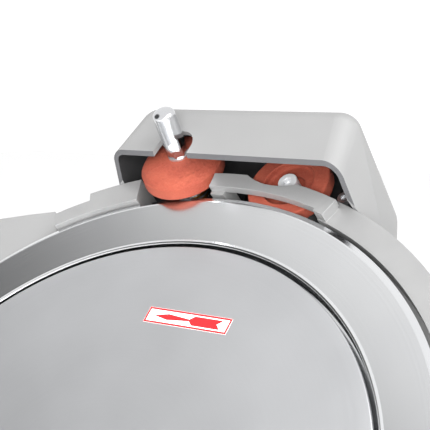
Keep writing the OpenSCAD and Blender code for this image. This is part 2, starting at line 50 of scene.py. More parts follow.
# The knife's axes: across it, up its plane and out of its face
headPlace = {"axisHeight": 165, "axisForward": 12, "tilt": 45}
headRise = math.radians(90 - headPlace["tilt"])
headAxes = np.array([[1, 0, 0],
                     [0, math.cos(headRise), math.sin(headRise)],
                     [0, -math.sin(headRise), math.cos(headRise)]])
headCentre = np.array([0, -headPlace["axisForward"], headPlace["axisHeight"]])


def ownAxes(at=(0, 0, 0), lean=0, turn=0):
    # gives a function that turns points on a part's own axes, leant back and turned sideways,
    # into points of the head
    a, b = math.radians(-lean), math.radians(turn)
    leanRows = np.array([[1, 0, 0], [0, math.cos(a), -math.sin(a)], [0, math.sin(a), math.cos(a)]])
    turnRows = np.array([[math.cos(b), 0, math.sin(b)], [0, 1, 0], [-math.sin(b), 0, math.cos(b)]])
    axes = (turnRows @ leanRows).T
    return lambda points: np.asarray(points, float) @ axes + np.array(at)


onHead = ownAxes()


def room(points):
    # the head's millimetres become the room's metres
    return (np.asarray(points, float).reshape(-1, 3) @ headAxes + headCentre) * mm


def linear(code):
    # sRGB hex to linear light
    parts = np.array([int(code[i:i + 2], 16) / 255 for i in (1, 3, 5)])
    values = np.where(parts <= 0.04045, parts / 12.92, ((parts + 0.055) / 1.055) ** 2.4)
    return (*values, 1)


def setInputs(tree, node, inputs):
    # each input is another node's output or a plain value
    for key, value in inputs.items():
        if isinstance(value, bpy.types.NodeSocket):
            tree.links.new(value, node.inputs[key])
        else:
            node.inputs[key].default_value = value


def addNode(tree, kind, inputs, output=0, **settings):
    # a node with its settings and links; gives one of its outputs
    node = tree.nodes.new(kind)
    for key, value in settings.items():
        setattr(node, key, value)
    setInputs(tree, node, inputs)
    return node.outputs[output]


def newFinish(look):
    finish = bpy.data.materials.new(look["name"])
    finish.use_nodes = True
    tree = finish.node_tree
    shader = tree.nodes["Principled BSDF"]
    setInputs(tree, shader, {"Base Color": linear(look["colour"]), "Metallic": look["metallic"],
                             "Roughness": look["roughness"]})
    if "ior" in look:
        shader.inputs["IOR"].default_value = look["ior"]
    return finish, tree, shader


def objectPlace(tree, turned=False):
    # Object coordinates in millimetres, turned to the knife's axes where a pattern needs them
    place = addNode(tree, "ShaderNodeTexCoord", {}, "Object")
    if turned:
        place = addNode(tree, "ShaderNodeMapping",
                        {"Vector": place, "Location": headCentre * mm,
                         "Rotation": (headRise, 0, 0)}, vector_type="TEXTURE")
    return addNode(tree, "ShaderNodeVectorMath", {0: place, "Scale": 1 / mm}, operation="SCALE")


# Most values of a noise lie in this span
noiseSpan = {"From Min": 0.3, "From Max": 0.7}


def cloudyColour(tree, place, look, detail=2, span=noiseSpan):
    # the colour drifts to a deeper one in soft clouds; gives the colour and the clouds' noise
    cloud = addNode(tree, "ShaderNodeTexNoise",
                    {"Vector": place, "Scale": 1 / look["cloud"], "Detail": detail})
    share = addNode(tree, "ShaderNodeMapRange", {**span, "Value": cloud})
    colour = addNode(tree, "ShaderNodeMix",
                     {0: share, 6: linear(look["colour"]), 7: linear(look["deepColour"])}, 2,
                     data_type="RGBA")
    return colour, cloud


coat = {"glossier": 0.03, "duller": 0.05}  # drift of the roughness with the clouds


def coatedMetal(look):
    # metal blasted, milled or brushed, then lacquered or flake plated: a soft even sheen with a
    # faint grain, drawn coarser than the real one so that it shows
    finish, tree, shader = newFinish(look)
    place = objectPlace(tree)
    grain = addNode(tree, "ShaderNodeTexNoise",
                    {"Vector": place, "Scale": 1 / look["grain"], "Detail": 3})
    colour, cloud = cloudyColour(tree, place, look)
    gloss = addNode(tree, "ShaderNodeMapRange",
                    {**noiseSpan, "Value": cloud, "To Min": look["roughness"] - coat["glossier"],
                     "To Max": look["roughness"] + coat["duller"]})
    bump = addNode(tree, "ShaderNodeBump", {"Height": grain, "Distance": look["grainDepth"] * mm})
    setInputs(tree, shader, {"Base Color": colour, "Roughness": gloss, "Normal": bump})
    return finish


def turnedMetal(look):
    # metal turned or ground as it spins: fine rings round the knife's axis stretch its highlights;
    # they are drawn wider than the real ones so that they show
    finish, tree, shader = newFinish(look)
    place = objectPlace(tree, turned=True)
    parts = addNode(tree, "ShaderNodeSeparateXYZ", {0: place}).node
    flat = addNode(tree, "ShaderNodeCombineXYZ", {0: parts.outputs[0], 1: parts.outputs[1]})
    radius = addNode(tree, "ShaderNodeVectorMath", {0: flat}, "Value", operation="LENGTH")
    rings = addNode(tree, "ShaderNodeTexNoise",
                    {"W": radius, "Scale": 1 / look["ring"], "Detail": 4, "Roughness": 0.7},
                    noise_dimensions="1D")
    gloss = addNode(tree, "ShaderNodeMapRange",
                    {**noiseSpan, "Value": rings, "To Min": look["roughness"] - look["ringGloss"],
                     "To Max": look["roughness"] + look["ringGloss"]})
    bump = addNode(tree, "ShaderNodeBump", {"Height": rings, "Distance": look["ringDepth"] * mm})
    colour = cloudyColour(tree, place, look)[0]
    setInputs(tree, shader, {"Base Color": colour, "Roughness": gloss, "Normal": bump})
    return finish


tooling = {"drift": 0.2}  # share by which the roughness drifts with the grain


def smallMetal(look):
    # machined or plated metal of small parts: its gloss drifts with the tooling's grain, drawn
    # coarser than the real one so that it shows
    finish, tree, shader = newFinish(look)
    grain = addNode(tree, "ShaderNodeTexNoise",
                    {"Vector": objectPlace(tree), "Scale": 1 / look["grain"], "Detail": 3})
    gloss = addNode(tree, "ShaderNodeMapRange",
                    {**noiseSpan, "Value": grain,
                     "To Min": look["roughness"] * (1 - tooling["drift"]),
                     "To Max": look["roughness"] * (1 + tooling["drift"])})
    setInputs(tree, shader, {"Roughness": gloss})
    return finish


def finePlastic(look):
    # moulded nylon with a spark-eroded skin, or vinyl film and its ink: a soft gloss broken by a
    # grain, drawn coarser than the real one so that it shows
    finish, tree, shader = newFinish(look)
    grain = addNode(tree, "ShaderNodeTexNoise",
                    {"Vector": objectPlace(tree), "Scale": 1 / look["grain"], "Detail": 3})
    bump = addNode(tree, "ShaderNodeBump", {"Height": grain, "Distance": look["grainDepth"] * mm})
    setInputs(tree, shader, {"Normal": bump})
    return finish


def bondedStone(look):
    # corundum grains in a fired bond: a dry red-brown body with pale and dark grains and small
    # pits, drawn wider than the real grit so that they show
    finish, tree, shader = newFinish(look)
    place = objectPlace(tree)
    grain = addNode(tree, "ShaderNodeTexNoise",
                    {"Vector": place, "Scale": 1 / look["grain"], "Detail": 4, "Roughness": 0.75})
    colour = cloudyColour(tree, place, look, 3, {"From Min": 0.35, "From Max": 0.65})[0]
    for shade, span in look["grains"].items():
        share = addNode(tree, "ShaderNodeMapRange", {**span, "Value": grain})
        colour = addNode(tree, "ShaderNodeMix", {0: share, 6: colour, 7: linear(shade)}, 2,
                         data_type="RGBA")
    bump = addNode(tree, "ShaderNodeBump", {"Height": grain, "Distance": look["grainDepth"] * mm})
    setInputs(tree, shader, {"Base Color": colour, "Normal": bump})
    return finish


# Grain, rings and clouds are widths in millimetres, and depths are millimetres too
finishes = {
    "casting": coatedMetal({"name": "silverLacqueredCasting", "colour": "#8c8c8c",
                            "deepColour": "#878787", "metallic": 0.2, "roughness": 0.42,
                            "grain": 0.6, "grainDepth": 0.006, "cloud": 45}),
    # near-black inner faces: painted shade for the dark inside of the hood
    "inside": coatedMetal({"name": "hoodInsidePaintedShade", "colour": "#2f2f30",
                           "deepColour": "#272728", "metallic": 0.1, "roughness": 0.6,
                           "grain": 0.8, "grainDepth": 0.02, "cloud": 25}),
    # darker grey rim faces: partly a bare machined edge, partly painted shade for the
    # downward-facing rim that the low front lamps light
    "rim": coatedMetal({"name": "hoodRimPaintedShade", "colour": "#5d5d5f", "deepColour": "#565658",
                        "metallic": 0.3, "roughness": 0.4, "grain": 0.5, "grainDepth": 0.004,
                        "cloud": 20}),
    "plated": coatedMetal({"name": "zincFlakePlating", "colour": "#d2d3d5",
                           "deepColour": "#c8c9cb", "metallic": 0.25, "roughness": 0.35,
                           "grain": 0.5, "grainDepth": 0.002, "cloud": 8}),
    "guard": coatedMetal({"name": "brushedGuardCasting", "colour": "#949494",
                          "deepColour": "#8e8e8e", "metallic": 0.35, "roughness": 0.34,
                          "grain": 0.5, "grainDepth": 0.004, "cloud": 22}),
    "plate": coatedMetal({"name": "satinGaugePlate", "colour": "#9a9a9a",
                          "deepColour": "#959595", "metallic": 0.3, "roughness": 0.45,
                          "grain": 0.7, "grainDepth": 0.005, "cloud": 60}),
    # near-black bracket: painted shade for the deep shade inside the hood where it sits
    "bracket": coatedMetal({"name": "bracketCastingPaintedShade", "colour": "#101011",
                            "deepColour": "#0b0b0c", "metallic": 0.2, "roughness": 0.55,
                            "grain": 0.8, "grainDepth": 0.02, "cloud": 20}),
    "knife": turnedMetal({"name": "groundKnifeSteel", "colour": "#e2e3e4",
                          "deepColour": "#dddee0", "metallic": 1, "roughness": 0.19,
                          "ring": 0.9, "ringGloss": 0.02, "ringDepth": 0.0003, "cloud": 60}),
    "cover": turnedMetal({"name": "satinCoverAluminium", "colour": "#c3c4c6",
                          "deepColour": "#babbbd", "metallic": 1, "roughness": 0.48,
                          "ring": 1.6, "ringGloss": 0.02, "ringDepth": 0.0004, "cloud": 50}),
    "machined": smallMetal({"name": "machinedSteel", "colour": "#bdbec0", "metallic": 1,
                            "roughness": 0.28, "grain": 0.5}),
    "lightAlloy": smallMetal({"name": "machinedAluminium", "colour": "#cfd0d2", "metallic": 1,
                              "roughness": 0.32, "grain": 0.6}),
    "zinc": smallMetal({"name": "zincPlatedSteel", "colour": "#d9dadc", "metallic": 1,
                        "roughness": 0.45, "grain": 0.8}),
    "chrome": smallMetal({"name": "polishedChrome", "colour": "#cfd0d2", "metallic": 1,
                          "roughness": 0.14, "grain": 3}),
    "spring": smallMetal({"name": "drawnSpringSteel", "colour": "#8e8f92", "metallic": 1,
                          "roughness": 0.3, "grain": 0.4}),
    "bronze": smallMetal({"name": "oiledBronze", "colour": "#b58a4e", "metallic": 1,
                          "roughness": 0.33, "grain": 0.5}),
    "stone": bondedStone({"name": "redCorundum", "colour": "#93432f", "deepColour": "#893a28",
                          "metallic": 0, "roughness": 0.85, "ior": 1.5, "grain": 0.55,
                          "grainDepth": 0.12, "cloud": 9,
                          "grains": {"#ad6b5a": {"From Min": 0.55, "From Max": 0.72,
                                                 "To Min": 0, "To Max": 0.5},
                                     "#64261b": {"From Min": 0.3, "From Max": 0.42,
                                                 "To Min": 0.55, "To Max": 0}}}),
    "knob": finePlastic({"name": "blackNylon", "colour": "#1b1b1c", "metallic": 0,
                         "roughness": 0.42, "ior": 1.52, "grain": 0.5, "grainDepth": 0.02}),
    "paper": finePlastic({"name": "whiteVinylLabel", "colour": "#f6f6f4", "metallic": 0,
                          "roughness": 0.5, "ior": 1.5, "grain": 0.5, "grainDepth": 0.002}),
    "ink": finePlastic({"name": "redPrintedInk", "colour": "#e0161c", "metallic": 0,
                        "roughness": 0.5, "ior": 1.5, "grain": 0.5, "grainDepth": 0.002}),
}
print("finishes made:", len(finishes))


def gridFaces(rows, columns, wrapRows=False, wrapColumns=False):
    # every cell of a grid of points as one four-sided face
    i, j = np.meshgrid(np.arange(rows - (not wrapRows)), np.arange(columns - (not wrapColumns)),
                       indexing="ij")
    nextI, nextJ = (i + 1) % rows, (j + 1) % columns
    return np.stack([i * columns + j, nextI * columns + j, nextI * columns + nextJ,
                     i * columns + nextJ], -1).reshape(-1, 4)


def meshPiece(name, points, faces, finish, sharpAngle=35):
    # points in the head's millimetres; doubles at seams and poles merge, and faces turn outwards
    mesh = bpy.data.meshes.new(name)
    mesh.from_pydata(room(points).tolist(), [], [list(face) for face in faces])
    work = bmesh.new()
    work.from_mesh(mesh)
    bmesh.ops.remove_doubles(work, verts=work.verts, dist=weldGap)
    bmesh.ops.recalc_face_normals(work, faces=work.faces)
    work.to_mesh(mesh)
    work.free()
    piece = bpy.data.objects.new(name, mesh)
    bpy.context.scene.collection.objects.link(piece)
    mesh.shade_smooth()
    mesh.set_sharp_from_angle(angle=math.radians(sharpAngle))
    mesh.materials.append(finishes[finish])
    return piece


def fillet(corners):
    # corners (radius, height, rounding) become an outline whose corners are arcs, each from where
    # its circle touches one side to where it touches the other
    outline = []
    last = len(corners) - 1
    for index, (x, y, rounding) in enumerate(corners):
        here = np.array([x, y], float)
        if rounding == 0 or index in (0, last):
            outline.append(here)
            continue
        before = np.array(corners[index - 1][:2]) - here
        after = np.array(corners[index + 1][:2]) - here
        before, after = before / np.linalg.norm(before), after / np.linalg.norm(after)
        half = math.acos(np.clip(before @ after, -1, 1)) / 2
        inward = (before + after) / np.linalg.norm(before + after)
        middle = here + inward * rounding / math.sin(half)
        first = here + before * rounding / math.tan(half) - middle
        final = here + after * rounding / math.tan(half) - middle
        sweep = math.atan2(first[0] * final[1] - first[1] * final[0], first @ final)
        turn = np.linspace(0, sweep, arcPoints)
        outline.extend(middle + np.stack([first[0] * np.cos(turn) - first[1] * np.sin(turn),
                                          first[0] * np.sin(turn) + first[1] * np.cos(turn)], -1))
    return np.array(outline)


def turnedPiece(name, outline, place, finish, steps, closed=False, relief=None, sharpAngle=35):
    # the outline (radius, height) carried round an axis; relief moves the points of the grid
    angle = np.linspace(0, full, steps, endpoint=False)[:, None]
    radius, height = outline[None, :, 0], outline[None, :, 1]
    grid = np.stack([radius * np.cos(angle), radius * np.sin(angle), height + 0 * angle], -1)
    if relief is not None:
        grid = relief(grid)
    faces = gridFaces(steps, len(outline), wrapRows=True, wrapColumns=closed)
    return meshPiece(name, place(grid.reshape(-1, 3)), faces, finish, sharpAngle)


def flatPrism(outline, low, high):
    # an outline raised between two heights
    count = len(outline)
    points = np.vstack([np.column_stack([outline, np.full(count, low)]),
                        np.column_stack([outline, np.full(count, high)])])
    faces = [tuple(range(count - 1, -1, -1)), tuple(range(count, 2 * count))]
    faces += [(k, (k + 1) % count, count + (k + 1) % count, count + k) for k in range(count)]
    return points, faces


def bevelled(piece, width, angle=38):
    # edges sharper than the angle are rounded off, and large faces stay flat to the eye
    bevel = piece.modifiers.new("softEdges", "BEVEL")
    bevel.width = width * mm
    bevel.segments = 3
    bevel.limit_method = "ANGLE"
    bevel.angle_limit = math.radians(angle)
    bevel.use_clamp_overlap = True
    weigh = piece.modifiers.new("evenFaces", "WEIGHTED_NORMAL")
    weigh.keep_sharp = False


def softenedCopy(node, name, width, finish):
    # a CAD solid's copy, merged, with its flat faces joined and its sharp edges rounded off
    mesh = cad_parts[node].data.copy()
    mesh.name = name
    work = bmesh.new()
    work.from_mesh(mesh)
    bmesh.ops.remove_doubles(work, verts=work.verts, dist=weldGap)
    bmesh.ops.dissolve_limit(work, angle_limit=math.radians(flatAngle), verts=work.verts,
                             edges=work.edges)
    work.to_mesh(mesh)
    work.free()
    mesh.materials.clear()
    mesh.materials.append(finishes[finish])
    piece = bpy.data.objects.new(name, mesh)
    bpy.context.scene.collection.objects.link(piece)
    mesh.shade_smooth()
    bevelled(piece, width)
    return piece


def stands(piece, node, body):
    # the piece takes a solid's place and moves with its body
    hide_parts(node)
    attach(piece, body)


def cutBy(piece, cutter):
    # one closed shape taken out of another; the cutter is then thrown away
    boolean = piece.modifiers.new("cut", "BOOLEAN")
    boolean.operation = "DIFFERENCE"
    boolean.solver = "MANIFOLD"
    boolean.object = cutter
    graph = bpy.context.evaluated_depsgraph_get()
    result = bpy.data.meshes.new_from_object(piece.evaluated_get(graph))
    piece.modifiers.remove(boolean)
    old = piece.data
    piece.data = result
    bpy.data.meshes.remove(old)
    bpy.data.objects.remove(cutter)


# Distances out from the recess or in from the edge, heights over the edge, and roundings
knife = {"holeRadius": 29, "recessRadius": 125.2, "recessFloor": (-6.65, 0.8),
         "beadFromRecess": [(0, -1.2, 0.5), (0.9, -0.85, 0.45), (2, -1.05, 0.3)],
         "bevelFromEdge": [(2.9, 0.88, 0.3), (2.2, 0.9, 0.25), (0, 0, 0)],
         "backFromEdge": [(0, -0.3, 0), (5.5, -0.5, 0), (19, -5, 2)],
         "ribFromRecess": (3.5, -10.5, 1), "steps": 256, "sharpAngle": 40}


def makeKnife():
    # a closed section turned round the axis: the recess, its bead, the face that rises evenly to
    # the ground bevel, the edge and the hollow back
    inner, hole, rib = knife["recessRadius"], knife["holeRadius"], knife["ribFromRecess"]
    recess, rounding = knife["recessFloor"]
    corners = [(hole, recess, 0), (inner, recess, rounding)]
    corners += [(inner + out, *rest) for out, *rest in knife["beadFromRecess"]]
    corners += [(knifeRadius - into, *rest)
                for into, *rest in knife["bevelFromEdge"] + knife["backFromEdge"]]
    corners += [(inner + rib[0], *rib[1:]), (hole, rib[1], 0)]
    piece = turnedPiece("knife_disc", fillet(corners), onHead, "knife", knife["steps"],
                        closed=True, sharpAngle=knife["sharpAngle"])
    stands(piece, "knife", "knife_rotor")


cover = {"radius": 123.2, "drop": 0.8, "thickness": 2, "crown": 2, "bossRadius": 6.5,
         "bossLength": 14, "rimRounding": 0.7, "backRounding": 0.4, "crownPoints": 24,
         "steps": 256}


def crownHeight(radius):
    # the cover's face falls away from its middle with the square of the radius
    return -cover["drop"] + cover["crown"] * (1 - (radius / cover["radius"]) ** 2)


def makeCover():
    # the boss, the flat back, the rounded rim and the crowned face, turned round the axis
    radius = np.linspace(1, 0, cover["crownPoints"]) * (cover["radius"] - cover["rimRounding"])
    face = np.stack([radius, crownHeight(radius)], -1)
    back = -cover["drop"] - cover["thickness"]
    rim = fillet([(cover["bossRadius"], back, 0), (cover["radius"], back, cover["backRounding"]),
                  (cover["radius"], -cover["drop"], cover["rimRounding"]), (*face[1], 0)])
    bossEnd = back - cover["bossLength"]
    outline = np.vstack([[(0, bossEnd), (cover["bossRadius"], bossEnd)], rim, face[2:]])
    piece = turnedPiece("cover_disc", outline, onHead, "cover", cover["steps"])
    stands(piece, "knife_cover", "cover")


makeKnife()
makeCover()
print("knife and cover made")


stone = {"radius": 19.5, "rim": 6.4, "faceInner": 12.1, "recess": 3.5, "hub": 6.8, "hubRise": 2,
         "bore": 2.5, "flat": 5.2, "hubRounding": 0.3, "recessRounding": 1.2, "innerRounding": 0.7,
         "outerRounding": 1, "shoulder": 0.8, "shoulderLow": 0.4, "shoulderHigh": 0.1,
         "shoulderRounding": 0.9, "domePoints": 14, "gap": 0.7, "steps": 200, "sharpAngle": 60}
# A worn grain stands out from the stone's middle, less across than along, and fades at the hub
wornGrain = {"relief": 0.1, "middle": (0, 0, 3), "lessAcross": 0.7, "hubMargin": 1, "fade": 2}
# The side is 1 where the working face looks down its own axis and -1 where it looks up
stones = {
    "grinding": {"at": (-31.2, knifeRadius + 13.2, 0), "lean": 9.8, "turn": 5.1, "dome": 4.4,
                 "side": 1, "seed": 11},
    "deburring": {"at": (25.1, knifeRadius + 12.9, -1.3), "lean": 0, "turn": 0, "dome": 1.2,
                  "side": -1, "seed": 12}}
onStone = {name: ownAxes(place["at"], place["lean"], place["turn"])
           for name, place in stones.items()}


def stoneOutline(dome):
    # bore, hub, recess, working face at height 0 and rim, then a quarter of an ellipse over them
    turn = np.linspace(0, math.pi / 2, stone["domePoints"])
    top = stone["radius"] - stone["shoulder"]
    domed = np.stack([stone["flat"] + (top - stone["flat"]) * np.cos(turn),
                      stone["rim"] + dome * np.sin(turn)], -1)
    hubTop = stone["recess"] + stone["hubRise"]
    below = fillet([(stone["bore"], hubTop, 0), (stone["hub"], hubTop, stone["hubRounding"]),
                    (stone["hub"], stone["recess"], stone["hubRounding"]),
                    (stone["faceInner"], stone["recess"], stone["recessRounding"]),
                    (stone["faceInner"], 0, stone["innerRounding"]),
                    (stone["radius"], 0, stone["outerRounding"]),
                    (stone["radius"], stone["rim"] - stone["shoulderLow"],
                     stone["shoulderRounding"]),
                    (top, stone["rim"] + stone["shoulderHigh"], 0)])
    return np.vstack([below[:-1], domed[1:], [(stone["bore"], stone["rim"] + dome)]])


def evenly(outline, gap):
    # the closed outline's points, with others between them at even steps of about the gap
    ring = np.vstack([outline, outline[:1]])
    run = np.concatenate([[0], np.cumsum(np.linalg.norm(np.diff(ring, axis=0), axis=1))])
    even = np.linspace(0, run[-1], int(run[-1] / gap), endpoint=False)
    places = np.unique(np.concatenate([run[:-1], even]).round(3))
    return np.stack([np.interp(places, run, ring[:, k]) for k in (0, 1)], -1)


def grainy(seed):
    # gives a relief: each point moves out or in by a random height shared with two neighbours
    def relief(grid):
        random = np.random.default_rng(seed)
        height = random.normal(0, 1, grid.shape[:2])
        height = (height + np.roll(height, 1, 0) + np.roll(height, 1, 1)) / 3
        radius = np.linalg.norm(grid[..., :2], axis=-1, keepdims=True)
        free = np.clip((radius - stone["hub"] - wornGrain["hubMargin"]) / wornGrain["fade"], 0, 1)
        across = np.concatenate([grid[..., :2], 0 * grid[..., 2:]], -1)
        outward = grid - np.array(wornGrain["middle"]) - across * wornGrain["lessAcross"]
        outward = outward / np.maximum(np.linalg.norm(outward, axis=-1, keepdims=True), 1e-6)
        return grid + outward * (height[..., None] * wornGrain["relief"] * free)
    return relief


def makeStones():
    for name, place in stones.items():
        outline = evenly(stoneOutline(place["dome"]), stone["gap"]) * (1, place["side"])
        piece = turnedPiece(name + "_wheel", outline, onStone[name], "stone", stone["steps"],
                            closed=True, relief=grainy(place["seed"]),
                            sharpAngle=stone["sharpAngle"])
        stands(piece, name + "_stone", name + "_wheel")


makeStones()
print("stones made")


hood = {"wall": 2.5, "rimDrop": 1, "rimRise": 23.5,
        # each corner is a ball: across, above the knife's edge, out of its plane, radius
        "balls": [(-58.8, -10, 18, 3), (-51.2, 31.9, 7.1, 10.9), (56.7, -10, 13, 8),
                  (46.5, 32.9, 8.3, 10), (-56, -10, -40, 10), (-48, 28, -28, 12),
                  (60, -10, -38.6, 12), (39, 30, -28.8, 14), (50, 20.6, -36, 12)],
        "ballRings": 40, "flatAngle": 0.3, "softEdge": 0.4, "softAngle": 40,
        # metres between welded points and from a face to the lining, and the least cosine
        # between a face that takes the darker rim colour and the rim's way
        "weldGap": 2e-5, "skinGap": 5e-5, "rimMatch": 0.999}
# What is cut from the hood: rods for the ring and the rear button, a box under the rim, and the
# push button's notch
ringRoom = {"radius": 164, "low": -80, "high": 5, "steps": 400}
buttonRoom = {"radius": 11.2, "low": -80, "high": -30, "steps": 96}
rimRoom = {"low": (-100, -60, -100), "high": (100, 0, 60)}
notch = {"radius": 9.5, "at": (-27.3, knifeRadius + 13.2), "legs": 20, "high": 40, "points": 33}


def hoodBody(name, inset):
    # the skin stretched over the corner balls, each smaller by the inset
    rings = hood["ballRings"]
    rise, turn = np.meshgrid(np.linspace(0, math.pi, rings), np.linspace(0, full, 2 * rings))
    ball = np.stack([np.cos(rise), np.sin(rise) * np.cos(turn), np.sin(rise) * np.sin(turn)], -1)
    points = np.vstack([ball.reshape(-1, 3) * (radius - inset) + (across, knifeRadius + up, out)
                        for across, up, out, radius in hood["balls"]])
    dots = bpy.data.meshes.new("ballPoints")
    dots.from_pydata(np.unique(points.round(5), axis=0).tolist(), [], [])
    work = bmesh.new()
    work.from_mesh(dots)
    bpy.data.meshes.remove(dots)
    bmesh.ops.convex_hull(work, input=work.verts)
    bmesh.ops.dissolve_limit(work, angle_limit=math.radians(hood["flatAngle"]),
                             verts=work.verts, edges=work.edges)
    loose = [vert for vert in work.verts if not vert.link_faces]
    bmesh.ops.delete(work, geom=loose, context="VERTS")
    work.verts.index_update()
    points = np.array([vert.co for vert in work.verts])
    faces = [[vert.index for vert in face.verts] for face in work.faces]
    work.free()
    return meshPiece(name, points, faces, "casting")


def boxCutter(name, box, place):
    # a box from its low corner to its high one
    (left, front, under), (right, back, over) = box["low"], box["high"]
    corners = [(x, y, z) for x in (left, right) for y in (front, back) for z in (under, over)]
    faces = [(0, 1, 3, 2), (4, 6, 7, 5), (0, 4, 5, 1), (2, 3, 7, 6), (0, 2, 6, 4), (1, 5, 7, 3)]
    return meshPiece(name, place(corners), faces, "casting")


def rodCutter(name, rod, place):
    # a round rod along its place's axis
    radius, low, high = rod["radius"], rod["low"], rod["high"]
    outline = np.array([(0, low), (radius, low), (radius, high), (0, high)], float)
    return turnedPiece(name, outline, place, "casting", rod["steps"])


def notchCutter():
    # a half circle round the push button on two straight legs, open at the rim
    turn = np.linspace(0, math.pi, notch["points"])
    radius, foot = notch["radius"], -notch["legs"]
    outline = np.vstack([np.stack([radius * np.cos(turn), radius * np.sin(turn)], -1),
                         (-radius, foot), (radius, foot)]) + notch["at"]
    return meshPiece("notch", *flatPrism(outline, ringRoom["high"], notch["high"]), "casting")


def finishHood(mesh, lining, rimWay):
    # cast outside; near-black where a face lies on the lining's skin, painted shade for the dark
    # inside of the hood; a darker grey on the rim, partly a bare machined edge and partly painted
    # shade
    mesh.materials.clear()
    for finish in ("casting", "inside", "rim"):
        mesh.materials.append(finishes[finish])
    work = bmesh.new()
    work.from_mesh(mesh)
    bmesh.ops.remove_doubles(work, verts=work.verts, dist=hood["weldGap"])
    for face in work.faces:
        # faces on the lining take the near-black painted shade of the hood's inside
        liningFace = lining.find_nearest(face.calc_center_median())[3] < hood["skinGap"]
        # faces along the rim's way take the darker grey, partly painted shade
        rimFace = face.normal.dot(rimWay) > hood["rimMatch"]
        face.material_index = 1 if liningFace else 2 if rimFace else 0
    work.to_mesh(mesh)
    work.free()
    mesh.shade_smooth()


def makeHood():
    # a shell round a smaller lining, open along the rim and towards the ring
    shell, core = hoodBody("sharpener_hood", 0), hoodBody("lining", hood["wall"])
    lining = BVHTree.FromPolygons([vert.co for vert in core.data.vertices],
                                  [face.vertices for face in core.data.polygons])
    onRim = ownAxes((0, knifeRadius, -hood["rimDrop"]), hood["rimRise"])
    cutBy(shell, core)
    cutBy(shell, rodCutter("ringRoom", ringRoom, onHead))
    cutBy(shell, boxCutter("rimRoom", rimRoom, onRim))
    cutBy(shell, notchCutter())
    cutBy(shell, rodCutter("buttonRoom", buttonRoom, onStone["deburring"]))
    start, under = room(onRim([(0, 0, 0), (0, -1, 0)]))
    finishHood(shell.data, lining, Vector(under - start).normalized())
    bevelled(shell, hood["softEdge"], hood["softAngle"])
    stands(shell, "hood", "sharpener")


makeHood()
print("hood made")


# Solids with softened edges: name, rounding, finish, body and slot of each one's piece
softened = {
    "head_casting": ("main_casting", 1.2, "casting", "head", "cast_silver"),
    "ring_guard": ("blade_guard", 0.45, "guard", "head", "cast_silver"),
    "gauge_plate": ("thickness_plate", 0.9, "plate", "gauge", "cover_metal"),
    "gauge_arm": ("plate_arm", 0.8, "lightAlloy", "gauge", "machined_aluminium"),
    "sharpener_bracket": ("stone_bracket", 0.6, "bracket", "sharpener", "dark_cast"),
    "push_knob": ("push_button", 0.3, "chrome", "grinding_slide", "chromed_knob"),
    "knob_set_screw": ("button_screw", 0.15, "plated", "grinding_slide", "zinc_fastener"),
    "deburring_bolt": ("wheel_bolt", 0.35, "plated", "deburring_wheel", "zinc_fastener"),
    "cover_knob": ("cover_grip", 1.4, "knob", "cover_lock", "black_knob"),
    "lock_knob": ("clamp_grip", 1.4, "knob", "sharpener_lock", "black_knob"),
    "deburring_button": ("rear_button", 0.9, "knob", "deburring_slide", "black_knob"),
}


def makeSoftened():
    for node, (name, width, finish, body, slotName) in softened.items():
        stands(softenedCopy(node, name, width, finish), node, body)


makeSoftened()
print("softened pieces made:", len(softened))


# The face and the cone's start are shares of the flats; a mouth is how far the bore's chamfer
# reaches out and in
nut = {"flats": 8, "height": 4, "washer": 1, "bore": 2.5, "chamfer": 42, "turn": 14, "steps": 96,
       "face": 0.97, "coneStart": 0.99, "lowMouth": (0.4, 0.2), "highMouth": (0.6, 0.5),
       "sharpAngle": 25}


def makeNut():
    # half the flats over the cosine of the angle from a flat's middle is a hexagon's radius; a
    # cone takes its corners off at both ends
    half = nut["flats"] / 2
    angle = np.linspace(0, full, nut["steps"], endpoint=False)
    fromFlat = (angle + math.radians(nut["turn"])) % (math.pi / 3) - math.pi / 6
    radius = half / np.cos(fromFlat)
    drop = (radius - half * nut["coneStart"]) * math.tan(math.radians(nut["chamfer"]))
    low = stone["rim"] + stones["grinding"]["dome"] + nut["washer"]
    high = low + nut["height"]
    face = half * nut["face"]
    (lowOut, lowIn), (highOut, highIn) = nut["lowMouth"], nut["highMouth"]
    rings = [(nut["bore"], low + lowIn), (nut["bore"] + lowOut, low), (face, low),
             (radius, low + drop), (radius, high - drop), (face, high),
             (nut["bore"] + highOut, high), (nut["bore"], high - highIn)]
    grid = np.stack([np.stack([r * np.cos(angle), r * np.sin(angle), h + 0 * angle], -1)
                     for r, h in rings], 1)
    piece = meshPiece("spindle_hex_nut", onStone["grinding"](grid.reshape(-1, 3)),
                      gridFaces(nut["steps"], len(rings), True, True), "chrome",
                      nut["sharpAngle"])
    stands(piece, "grinding_nut", "grinding_wheel")


makeNut()
print("nut made")


# Finishes of the solids that stay as they are
kept = {
    "knife_spindle": "machined", "spindle_nut": "zinc", "ring_screws": "zinc",
    "knife_hub": "machined", "knife_screws": "zinc", "knife_bearings": "machined",
    "bearing_spacer": "machined", "knife_pulley": "lightAlloy", "pulley_screws": "zinc",
    "cover_tie_rod": "machined", "gauge_rods": "machined", "gauge_screws": "zinc",
    "hood_screws": "zinc", "arm_screw": "zinc", "sharpener_post": "machined",
    "lock_screw": "zinc", "grinding_spindle": "machined", "grinding_washer": "zinc",
    "grinding_sleeve": "bronze", "grinding_spring": "spring", "grinding_circlip": "spring",
    "deburring_spindle": "machined", "deburring_sleeve": "bronze",
    "deburring_spring": "spring", "deburring_circlip": "spring"}


def finishKept():
    for node, finish in kept.items():
        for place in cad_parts[node].material_slots:
            place.material = finishes[finish]


finishKept()
print("kept solids finished:", len(kept))


